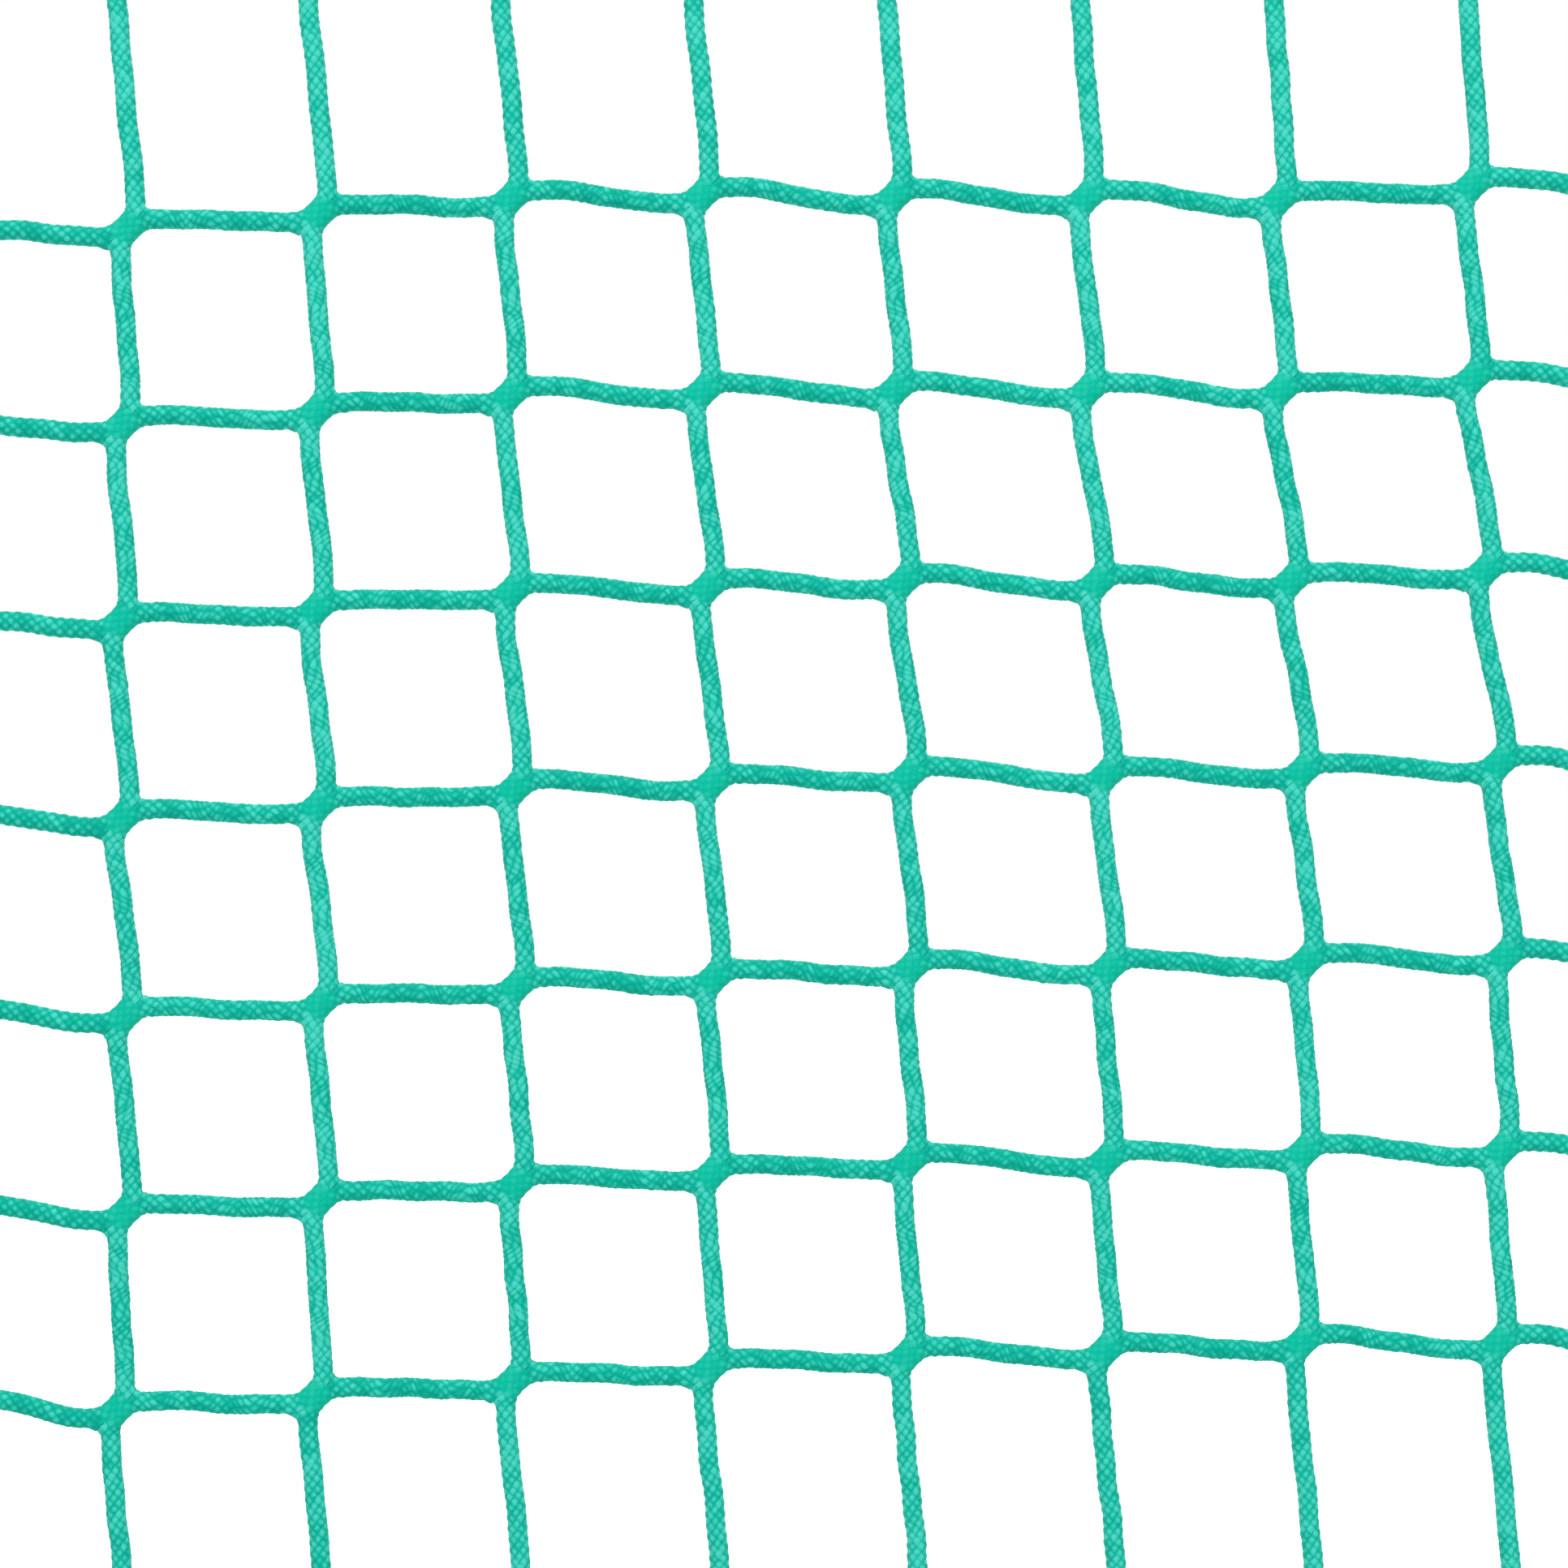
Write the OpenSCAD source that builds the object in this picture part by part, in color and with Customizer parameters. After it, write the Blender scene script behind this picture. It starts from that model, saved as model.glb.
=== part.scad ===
// Cargo climbing net: a panel of square-mesh knotless netting in a rope border,
// with a round thimble eye at each corner.
// The panel hangs in the XZ plane: +X is right, +Z is up, and the origin is its centre.
// Braided cords climb the net from lower left to upper right like flights of stairs, and two
// of them run side by side, interlaced, at every junction.
// Each row of the net folds against the next on a level line half way down its upright cords.

/* [Netting] */
// Diameter of the braided cord
cord_d = 5; // [4:0.1:6]
// Spacing of neighbouring cords, centre to centre
mesh = 50; // [42:1:70]
// Junctions across the panel
columns = 8; // [3:1:8]
// Junctions down the panel
rows = 7; // [2:1:7]
// Length over which two cords run side by side at a junction
junction_run = 7.8; // [6:0.1:10]
// Width of a junction, across its two cords
junction_w = 7.1; // [6.8:0.1:7.5]
// Gap between the two interlaced cords
interlace_gap = 0.02; // [0.02:0.01:0.1]

/* [Hang] */
// Sideways lean of the columns, middle row to end row
lean = 0.9; // [0:0.1:2]
// Sideways sway of the columns, once over their height
sway = 1.8; // [0:0.1:2]
// Sideways bow of the columns at mid height
bow = 0.8; // [0:0.1:2]
// How far the columns fan out sideways to either end
fan = 2.5; // [0:0.1:3]
// Climb of each row from its middle to its right end
rise = 7; // [0:0.1:8]
// Waviness of that climb
roll = 1; // [0:0.1:1.5]
// Drop of each row towards both of its ends
droop = 6.3; // [0:0.1:7]
// How far the very ends of the rows turn up again
curl = 2.8; // [0:0.1:3]
// How much less the top row climbs than the middle one, and the bottom row more
skew = 5.4; // [0:0.1:6]
// How much of that skew is lost at the ends of the rows
skew_ease = 3.8; // [0:0.1:4]
// How much closer the end rows hang to the middle one
gather = 1; // [0:0.1:2]
// Small unevenness from junction to junction
unevenness = 1; // [0:0.1:1.5]

/* [Border] */
// Diameter of the border rope
rope_d = 8; // [6:0.1:10]
// From the outer columns of junctions to the side ropes
side_bay = 50; // [42:1:70]
// From the outer rows of junctions to the top and bottom ropes
end_bay = 66; // [55:1:80]
// Play between the rope and the eye spliced in a cord's end
eye_play = 0.1; // [0.05:0.01:0.3]

/* [Twine] */
// Diameter of the whipping twine
twine_d = 0.9; // [0.6:0.05:1.2]
// Length of the whipping on each cord end
whipping_l = 6; // [4:0.5:8]
// Length of the seizing at each corner
seizing_l = 7; // [5:0.5:9]
// Play between the twine and what it binds
twine_play = 0.05; // [0.05:0.01:0.1]

/* [Corner eyes] */
// Bore of the round thimble
thimble_bore = 14; // [10:0.1:20]
// Wall between the bore and the bottom of the groove
thimble_web = 1.4; // [1:0.1:2.5]
// Thickness of each flange at the groove's edge
thimble_flange = 1; // [0.8:0.1:2]
// How far the flanges reach past the rope's centre line
thimble_lip = 1.2; // [0.6:0.1:2]
// Play between the rope and the thimble's groove
groove_play = 0.25; // [0.15:0.05:0.4]
// How deep the two ropes press into each other under the seizing
throat_nip = 0.4; // [0.2:0.1:0.8]

/* [Folding] */
// Largest fold of one row against the next, each way, in degrees
fold_limit = 90; // [30:5:95]
// Clearance kept between the two halves of a folded cord
fold_gap = 0.1; // [0.1:0.05:0.5]

/* [Hidden] */
$fn = 64;
// The ball at each bend and end of a net cord stands this much proud of it
cord_proud = 0.35;
// The ball at each bend and end of a rope stands this much proud of it, inside the groove's play
rope_proud = 0.15;
// The straight lengths stop this far short of the middle of each ball
bend_inset = 0.4;
// A spliced eye's neck starts this far outside the middle of its loop
neck_in = 0.6;
// Space between neighbouring trim pieces
trim_gap = 0.2;
// The columns and rows stop drifting this far past the outer junctions, as a share
drift_end = 1.1;

cord_r = cord_d / 2;
rope_r = rope_d / 2;
side_x = mesh * (columns - 1) / 2 + side_bay;
end_z = mesh * (rows - 1) / 2 + end_bay;
junction_offset = (junction_w - cord_d) / 2;
run_x = (junction_run / 2 - junction_offset) * sqrt(0.5);
run_z = (junction_run / 2 + junction_offset) * sqrt(0.5);
loop_r = rope_r + eye_play + cord_r;
neck_r = loop_r + neck_in;
throat_r = rope_r - throat_nip / 2;
thimble_r = thimble_bore / 2 + thimble_web + groove_play + rope_r;
seizing_start = rope_r * (sqrt(2) - 1) + 3 * trim_gap;
seizing_wall = throat_r + rope_r + twine_play;
eye_reach = seizing_start + seizing_l + trim_gap
    + sqrt(pow(thimble_r + rope_r, 2) - pow(seizing_wall, 2));
throat_l = eye_reach - sqrt(pow(thimble_r, 2) - pow(throat_r, 2));

cord_setback = (cord_r + cord_proud) / cos(fold_limit / 2) + fold_gap;
rope_setback = (rope_r + rope_proud) / cos(fold_limit / 2) + fold_gap;

net_colour = [0.17, 0.76, 0.66];
rope_colour = [0.10, 0.50, 0.43];
twine_colour = [0.88, 0.86, 0.78];
steel_colour = [0.75, 0.77, 0.79];

// Where the junctions are. Columns count from 0 at the left and rows from 1 at the top.

function clamp(value, limit) = max(-limit, min(limit, value));
function across(i) = clamp(2 * i / (columns - 1) - 1, drift_end);
function up(k) = clamp(1 - 2 * (k - 1) / (rows - 1), 1);
function row_z(k) = mesh * ((rows + 1) / 2 - k);
function drift_x(u, v) = bow * cos(180 * v) - sway * sin(180 * v) - (lean + fan * u) * v;
function drift_z(u, v) = rise * u - roll * sin(180 * u) + droop * (0.25 - u * u) + curl * pow(u, 4)
    - (gather + skew * u - skew_ease * pow(u, 3)) * v;
function ripple_x(i, k) = unevenness * sin(20 * i + 290 * k - 143);
function ripple_z(i, k) = unevenness / 2 * sin(155 * i + 25 * k + 57);
function junction(i, k) = [
    mesh * (i - (columns - 1) / 2) + drift_x(across(i), up(k)) + ripple_x(i, k),
    0,
    row_z(k) + drift_z(across(i), up(k)) + ripple_z(i, k)
];

// Where the two cords enter and leave a junction.
// The upper one comes from the left and goes up, and the lower one comes from below and goes right.

function from_left(i, k) = junction(i, k) + [-run_z, 0, -run_x];
function to_up(i, k) = junction(i, k) + [run_x, 0, run_z];
function from_below(i, k) = junction(i, k) + [-run_x, 0, -run_z];
function to_right(i, k) = junction(i, k) + [run_z, 0, run_x];

// Where the cords' spliced eyes hold the border, and where the upright cords fold.

function end_eye(i, end) = [
    end > 0 ? from_below(i, 0)[0] : to_up(i, rows + 1)[0], 0, end * (end_z - neck_r)
];
function side_eye(k, side) = [
    side * (side_x - neck_r), 0, side < 0 ? to_right(-1, k)[2] : from_left(columns, k)[2]
];
function above(i, k) = k == 1 ? end_eye(i, 1) : from_below(i, k - 1);
function below(i, k) = k == rows ? end_eye(i, -1) : to_up(i, k + 1);
function fold_z(k) = k == 1 ? row_z(1) + end_bay / 2
    : k > rows ? row_z(rows) - end_bay / 2
    : row_z(k) + mesh / 2;
function at_height(a, b, z) = a + (b - a) * (z - a[2]) / (b[2] - a[2]);

// Building blocks

module bar(a, b, r) {
    d = b - a;
    translate(a)
        rotate([0, acos(d[2] / norm(d)), atan2(d[1], d[0])])
            cylinder(h = norm(d), r = r);
}

module run(points, r, proud) {
    for (p = points)
        translate(p)
            sphere(r = r + proud);
    for (n = [1:len(points) - 1]) {
        d = (points[n] - points[n - 1]) / norm(points[n] - points[n - 1]);
        bar(points[n - 1] + bend_inset * d, points[n] - bend_inset * d, r);
    }
}

module ring(centre, turn, ring_r, r) {
    translate(centre)
        rotate(turn)
            rotate_extrude()
                translate([ring_r, 0])
                    circle(r = r);
}

// The half of a junction that belongs to its other cord: side 1 is the upper half
module other_half(i, k, side) {
    reach = junction_run + 2 * cord_d;
    depth = 2 * cord_d;
    translate(junction(i, k))
        rotate([0, -45, 0])
            translate([0, 0, side * (depth - interlace_gap) / 2])
                cube([reach, depth, depth], center = true);
}

module sleeve(a, b, inner_r, outer_r, start, length) {
    d = (b - a) / norm(b - a);
    difference() {
        bar(a + d * start, a + d * (start + length), outer_r);
        bar(a + d * (start - 1), a + d * (start + length + 1), inner_r);
    }
}

// Strands of netting

module strand(i, k) {
    low = i == 0
        ? [side_eye(k, -1)]
        : [at_height(from_below(i - 1, k), below(i - 1, k), fold_z(k + 1) + cord_setback),
            from_below(i - 1, k), to_right(i - 1, k)];
    high = i == columns
        ? [side_eye(k, 1)]
        : [from_left(i, k), to_up(i, k),
            at_height(to_up(i, k), above(i, k), fold_z(k) - cord_setback)];
    difference() {
        run(concat(low, high), cord_r, cord_proud);
        if (i > 0)
            other_half(i - 1, k, 1);
        if (i < columns)
            other_half(i, k, -1);
    }
    if (i == 0)
        ring([-side_x, 0, side_eye(k, -1)[2]], [0, 0, 0], loop_r, cord_r);
    if (i == columns)
        ring([side_x, 0, side_eye(k, 1)[2]], [0, 0, 0], loop_r, cord_r);
}

module strands(k, first) {
    color(net_colour)
        for (i = [first:2:columns])
            strand(i, k);
}

module cord_ends(end) {
    k = end > 0 ? 1 : rows;
    color(net_colour)
        for (i = [0:columns - 1]) {
            leg = end > 0 ? to_up(i, k) : from_below(i, k);
            fold = end > 0 ? fold_z(1) + cord_setback : fold_z(rows + 1) - cord_setback;
            run([at_height(leg, end_eye(i, end), fold), end_eye(i, end)], cord_r, cord_proud);
            ring([end_eye(i, end)[0], 0, end * end_z], [0, 90, 0], loop_r, cord_r);
        }
}

// Twine whippings that lock the spliced eyes

module whipping(eye, leg) {
    sleeve(eye, leg, cord_r + twine_play, cord_r + twine_play + twine_d,
        cord_r - neck_in + trim_gap, whipping_l);
}

module row_whippings(k) {
    color(twine_colour) {
        whipping(side_eye(k, -1), from_left(0, k));
        whipping(side_eye(k, 1), to_right(columns - 1, k));
    }
}

module end_whippings(end) {
    color(twine_colour)
        for (i = [0:columns - 1])
            whipping(end_eye(i, end), end > 0 ? to_up(i, 1) : from_below(i, rows));
}

// Border rope

module side_rope(k, side) {
    color(rope_colour)
        run([
            [side * side_x, 0, fold_z(k + 1) + rope_setback],
            [side * side_x, 0, fold_z(k) - rope_setback]
        ], rope_r, rope_proud);
}

function corner(side, end, along, offset) = [
    side * (side_x + (along - throat_r - offset) * sqrt(0.5)),
    0,
    end * (end_z + (along - throat_r + offset) * sqrt(0.5))
];

module border_rope(end) {
    fold = end > 0 ? fold_z(1) + rope_setback : fold_z(rows + 1) - rope_setback;
    color(rope_colour) {
        for (side = [-1, 1]) {
            run([[side * side_x, 0, fold], corner(side, end, 0, -throat_r),
                corner(side, end, throat_l, -throat_r)], rope_r, rope_proud);
            ring(corner(side, end, eye_reach, 0), [90, 0, 0], thimble_r, rope_r);
        }
        run([corner(-1, end, throat_l, throat_r), corner(-1, end, 0, throat_r),
            corner(1, end, 0, throat_r), corner(1, end, throat_l, throat_r)], rope_r, rope_proud);
    }
}

// Corner eyes

module thimble(side, end) {
    groove_r = rope_r + groove_play;
    half_w = groove_r + thimble_flange;
    color(steel_colour)
        translate(corner(side, end, eye_reach, 0))
            rotate([90, 0, 0])
                rotate_extrude()
                    difference() {
                        translate([thimble_bore / 2, -half_w])
                            square([thimble_r + thimble_lip - thimble_bore / 2, 2 * half_w]);
                        translate([thimble_r, 0])
                            circle(r = groove_r);
                        translate([thimble_r, -groove_r])
                            square([2 * thimble_lip, 2 * groove_r]);
                    }
}

module throat_outline(r) {
    for (s = [-1, 1])
        translate([s * throat_r, 0])
            circle(r = r);
    square([2 * throat_r, 2 * r], center = true);
}

module seizing(side, end) {
    color(twine_colour)
        translate(corner(side, end, seizing_start, 0))
            rotate([0, side * (end > 0 ? 45 : 135), 0])
                linear_extrude(seizing_l)
                    difference() {
                        throat_outline(rope_r + twine_play + twine_d);
                        throat_outline(rope_r + twine_play);
                    }
}

// The parts of the net

border_rope(1);  // top_border_rope
cord_ends(1);  // top_cord_ends
end_whippings(1);  // top_whippings
thimble(-1, 1);  // top_left_thimble
thimble(1, 1);  // top_right_thimble
seizing(-1, 1);  // top_left_seizing
seizing(1, 1);  // top_right_seizing

for (k = [1:rows]) {
    strands(k, 0);
    strands(k, 1);
    side_rope(k, -1);
    side_rope(k, 1);
    row_whippings(k);
}

border_rope(-1);  // bottom_border_rope
cord_ends(-1);  // bottom_cord_ends
end_whippings(-1);  // bottom_whippings
thimble(-1, -1);  // bottom_left_thimble
thimble(1, -1);  // bottom_right_thimble
seizing(-1, -1);  // bottom_left_seizing
seizing(1, -1);  // bottom_right_seizing
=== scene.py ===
"""Looks of the cargo climbing net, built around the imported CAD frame.

Lengths in this file are millimetres until a mesh is made, as in part.scad, whose layout the
functions under "Layout" repeat. x is to the right, z is up and the net hangs in the XZ plane.
"""

import math

import bpy
import numpy as np
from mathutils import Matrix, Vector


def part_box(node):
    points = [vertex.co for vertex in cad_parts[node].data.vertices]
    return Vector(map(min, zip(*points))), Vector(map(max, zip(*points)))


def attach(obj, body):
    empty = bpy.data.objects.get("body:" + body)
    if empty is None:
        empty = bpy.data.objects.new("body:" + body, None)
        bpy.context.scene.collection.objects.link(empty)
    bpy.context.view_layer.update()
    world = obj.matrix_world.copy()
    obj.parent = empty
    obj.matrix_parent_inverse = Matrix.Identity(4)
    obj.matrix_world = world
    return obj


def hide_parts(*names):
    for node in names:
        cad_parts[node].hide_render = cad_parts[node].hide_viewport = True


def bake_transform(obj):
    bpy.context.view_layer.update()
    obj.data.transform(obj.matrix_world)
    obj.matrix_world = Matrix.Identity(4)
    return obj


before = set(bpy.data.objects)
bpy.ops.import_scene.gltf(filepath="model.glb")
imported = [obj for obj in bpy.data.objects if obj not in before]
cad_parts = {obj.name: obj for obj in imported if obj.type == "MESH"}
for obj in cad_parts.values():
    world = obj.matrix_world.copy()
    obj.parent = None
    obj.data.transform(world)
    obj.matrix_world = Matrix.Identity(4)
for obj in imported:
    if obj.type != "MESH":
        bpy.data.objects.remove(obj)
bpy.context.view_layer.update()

MM = 0.001
COLUMNS = 8
ROWS = 7

# ---------------------------------------------------------------- Camera

LENS = 100.0
SENSOR = 36.0
VIEW_WIDTH = 400.8
VIEW_X = -6.0

camera_data = bpy.data.cameras.new("camera")
camera_data.lens = LENS
camera_data.sensor_width = SENSOR
camera = bpy.data.objects.new("camera", camera_data)
bpy.context.scene.collection.objects.link(camera)
camera.location = (VIEW_X * MM, -VIEW_WIDTH * LENS / SENSOR * MM, 0)
camera.rotation_euler = (math.pi / 2, 0, 0)
bpy.context.scene.camera = camera

# ---------------------------------------------------------------- Sizes


def box_mm(node):
    """Lowest and highest corner of a CAD node, in mm."""
    low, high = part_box(node)
    return np.array(low) / MM, np.array(high) / MM


side_low, side_high = box_mm("row_4_left_rope")
SIDE_X = -(side_low[0] + side_high[0]) / 2
SIDE_SEAM = 199.0
ROPE_R = 4.0
CORD_R = 2.5
TWINE_R = 0.45
TWINE_PLAY = 0.05
TRIM_GAP = 0.2
MESH = 50.0
END_BAY = 66.0
END_Z = MESH * (ROWS - 1) / 2 + END_BAY
EYE_PLAY = 0.1
LOOP_R = ROPE_R + EYE_PLAY + CORD_R
LEG_END = 11.5
JUNCTION_RUN = 7.8
JUNCTION_WIDTH = 7.1
JUNCTION_OFFSET = (JUNCTION_WIDTH - 2 * CORD_R) / 2
RUN_X = (JUNCTION_RUN / 2 - JUNCTION_OFFSET) * math.sqrt(0.5)
RUN_Z = (JUNCTION_RUN / 2 + JUNCTION_OFFSET) * math.sqrt(0.5)
THROAT_NIP = 0.4
THROAT_R = ROPE_R - THROAT_NIP / 2
BORE_R = 7.0
THIMBLE_WEB = 1.4
THIMBLE_FLANGE = 1.0
THIMBLE_LIP = 1.2
GROOVE_PLAY = 0.25
GROOVE_R = ROPE_R + GROOVE_PLAY
THIMBLE_R = BORE_R + THIMBLE_WEB + GROOVE_PLAY + ROPE_R
SEIZING_START = ROPE_R * (math.sqrt(2) - 1) + 3 * TRIM_GAP
SEIZING_L = 7.0
SEIZING_WALL = THROAT_R + ROPE_R + TWINE_PLAY
EYE_REACH = (
    SEIZING_START
    + SEIZING_L
    + TRIM_GAP
    + math.sqrt((THIMBLE_R + ROPE_R) ** 2 - SEIZING_WALL**2)
)
WHIPPING_L = 6.0
WHIPPING_START = LOOP_R + CORD_R + TRIM_GAP

# ---------------------------------------------------------------- Layout

# How the net hangs, as in part.scad.
BOW = 0.8
SWAY = 1.8
LEAN = 0.9
FAN = 2.5
RISE = 7.0
ROLL = 1.0
DROOP = 6.3
CURL = 2.8
SKEW = 5.4
SKEW_EASE = 3.8
GATHER = 1.0
UNEVENNESS = 1.0
DRIFT_END = 1.1


def clamp(value, limit):
    return max(-limit, min(limit, value))


def sine(degrees):
    return math.sin(math.radians(degrees))


def junction(i, k):
    """Middle of the junction in column i, from the left, and row k, from the top."""
    u = clamp(2 * i / (COLUMNS - 1) - 1, DRIFT_END)
    v = clamp(1 - 2 * (k - 1) / (ROWS - 1), 1)
    x = MESH * (i - (COLUMNS - 1) / 2)
    x += BOW * sine(180 * v + 90) - SWAY * sine(180 * v) - (LEAN + FAN * u) * v
    x += UNEVENNESS * sine(20 * i + 290 * k - 143)
    z = MESH * ((ROWS + 1) / 2 - k)
    z += RISE * u - ROLL * sine(180 * u) + DROOP * (0.25 - u * u) + CURL * u**4
    z -= (GATHER + SKEW * u - SKEW_EASE * u**3) * v
    z += UNEVENNESS / 2 * sine(155 * i + 25 * k + 57)
    return np.array([x, 0.0, z])


# Where the two cords enter and leave a junction: the upper one comes from the left and goes up,
# the lower one comes from below and goes right.


def from_left(i, k):
    return junction(i, k) + [-RUN_Z, 0, -RUN_X]


def to_up(i, k):
    return junction(i, k) + [RUN_X, 0, RUN_Z]


def from_below(i, k):
    return junction(i, k) + [-RUN_X, 0, -RUN_Z]


def to_right(i, k):
    return junction(i, k) + [RUN_Z, 0, RUN_X]


def eye_of_end(i, end):
    """Middle of the top (end 1) or bottom (end -1) border rope where column i holds it."""
    x = from_below(i, 0)[0] if end > 0 else to_up(i, ROWS + 1)[0]
    return np.array([x, 0.0, end * END_Z])


def eye_of_side(k, side):
    z = to_right(-1, k)[2] if side < 0 else from_left(COLUMNS, k)[2]
    return np.array([side * SIDE_X, 0.0, z])


def corner(side, end, along, offset):
    """A point of a corner eye: how far along the net's diagonal, and how far beside it."""
    return np.array(
        [
            side * (SIDE_X + (along - THROAT_R - offset) * math.sqrt(0.5)),
            0.0,
            end * (END_Z + (along - THROAT_R + offset) * math.sqrt(0.5)),
        ]
    )


def body_of(row):
    """The body a row rides on. Row 0 is the top border and the one after the last the bottom."""
    if row < 1:
        return "top_border"
    return "bottom_border" if row > ROWS else f"row_{row}"


# ---------------------------------------------------------------- Paths

X = np.array([1.0, 0.0, 0.0])
Y = np.array([0.0, 1.0, 0.0])
Z = np.array([0.0, 0.0, 1.0])
FINE = 0.1
CURVE_POINTS = 80
LEVEL_RISE = math.radians(4.5)
LEVEL_HANDLE = 14.0
UPRIGHT_HANDLE = 9.0
WOBBLE = 0.16
WOBBLE_EASE = 9.0
EYE_OPEN = 52
EYE_POINTS = 90
NECK_POINTS = 30
EYE_HANDLE = 2.6
NECK_HANDLE = 2.9


def smoothstep(t):
    t = np.clip(t, 0, 1)
    return t * t * (3 - 2 * t)


def unit(v):
    return v / np.linalg.norm(v)


def bezier(a, b, c, d, count=CURVE_POINTS):
    t = np.linspace(0, 1, count)[:, None]
    s = 1 - t
    return s**3 * a + 3 * s * s * t * b + 3 * s * t * t * c + t**3 * d


def resample(points, step):
    """Points a step apart along a polyline, its ends kept."""
    length = np.concatenate([[0], np.cumsum(np.linalg.norm(np.diff(points, axis=0), axis=1))])
    keep = np.concatenate([[True], np.diff(length) > 1e-9])
    points, length = points[keep], length[keep]
    count = max(2, int(round(length[-1] / step)) + 1)
    at = np.linspace(0, length[-1], count)
    return np.stack([np.interp(at, length, points[:, c]) for c in range(3)], 1), at


def smoothed(points, width):
    """The polyline with its corners eased, by two passes of a moving mean. Its ends stay."""
    fine, _ = resample(points, FINE)
    half = int(width / FINE / 2)
    for _ in range(2):
        first, last = fine[0], fine[-1]
        lead = first + (first - fine[1]) * np.arange(half, 0, -1)[:, None]
        tail = last + (last - fine[-2]) * np.arange(1, half + 1)[:, None]
        long = np.concatenate([lead, fine, tail])
        kernel = np.ones(2 * half + 1) / (2 * half + 1)
        fine = np.stack([np.convolve(long[:, c], kernel, "valid") for c in range(3)], 1)
    return fine


def wobble(path, at, seed):
    """The path moved a little to either side, as cord never lies quite straight."""
    rng = np.random.default_rng(seed)
    ease = smoothstep(at / WOBBLE_EASE) * smoothstep((at[-1] - at) / WOBBLE_EASE)
    out = path.copy()
    for axis, share in ((X, 1.0), (Z, 1.0), (Y, 0.6)):
        wave = sum(
            rng.uniform(0.4, 1) * np.sin(2 * np.pi * (at / length + rng.uniform()))
            for length in (rng.uniform(26, 40), rng.uniform(13, 19))
        )
        out += (WOBBLE * share * ease * wave)[:, None] * axis
    return out


def level_leg(a, b):
    """A level cord from one junction to the next: it leaves and arrives rising a little."""
    lift = np.array([math.cos(LEVEL_RISE), 0, math.sin(LEVEL_RISE)])
    return bezier(a, a + LEVEL_HANDLE * lift, b - LEVEL_HANDLE * lift, b)


def upright_leg(a, b):
    return bezier(a, a + UPRIGHT_HANDLE * Z, b - UPRIGHT_HANDLE * Z, b)


def eye_loop(centre, toward):
    """The cord's spliced eye round a rope, from the leg round the rope and back to the leg."""

    def at(q, p):
        return centre + q * toward + p * Y

    turn = np.radians(np.linspace(EYE_OPEN, 360 - EYE_OPEN, EYE_POINTS))
    ring = [at(-LOOP_R * math.cos(b), LOOP_R * math.sin(b)) for b in turn]
    c, s = math.cos(turn[0]), math.sin(turn[0])
    out = bezier(
        at(-LEG_END, 0),
        at(NECK_HANDLE - LEG_END, 0),
        at(-LOOP_R * c - EYE_HANDLE * s, LOOP_R * s - EYE_HANDLE * c),
        at(-LOOP_R * c, LOOP_R * s),
        NECK_POINTS,
    )
    back = [centre + (p - centre) @ toward * toward - (p - centre) @ Y * Y for p in out[::-1]]
    return np.concatenate([out[:-1], np.array(ring), np.array(back)[1:]])


# ---------------------------------------------------------------- Meshes

# Margins of the bake map, as shares of the map's width and of a strip's height.
CAP_MARGIN = 0.002
BAKE_SIDE = 0.005
BAKE_STRIP = 0.03


def pair(u, v):
    """Two arrays as one of points, each stretched to the other's shape."""
    return np.stack(np.broadcast_arrays(u, v), -1)


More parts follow.
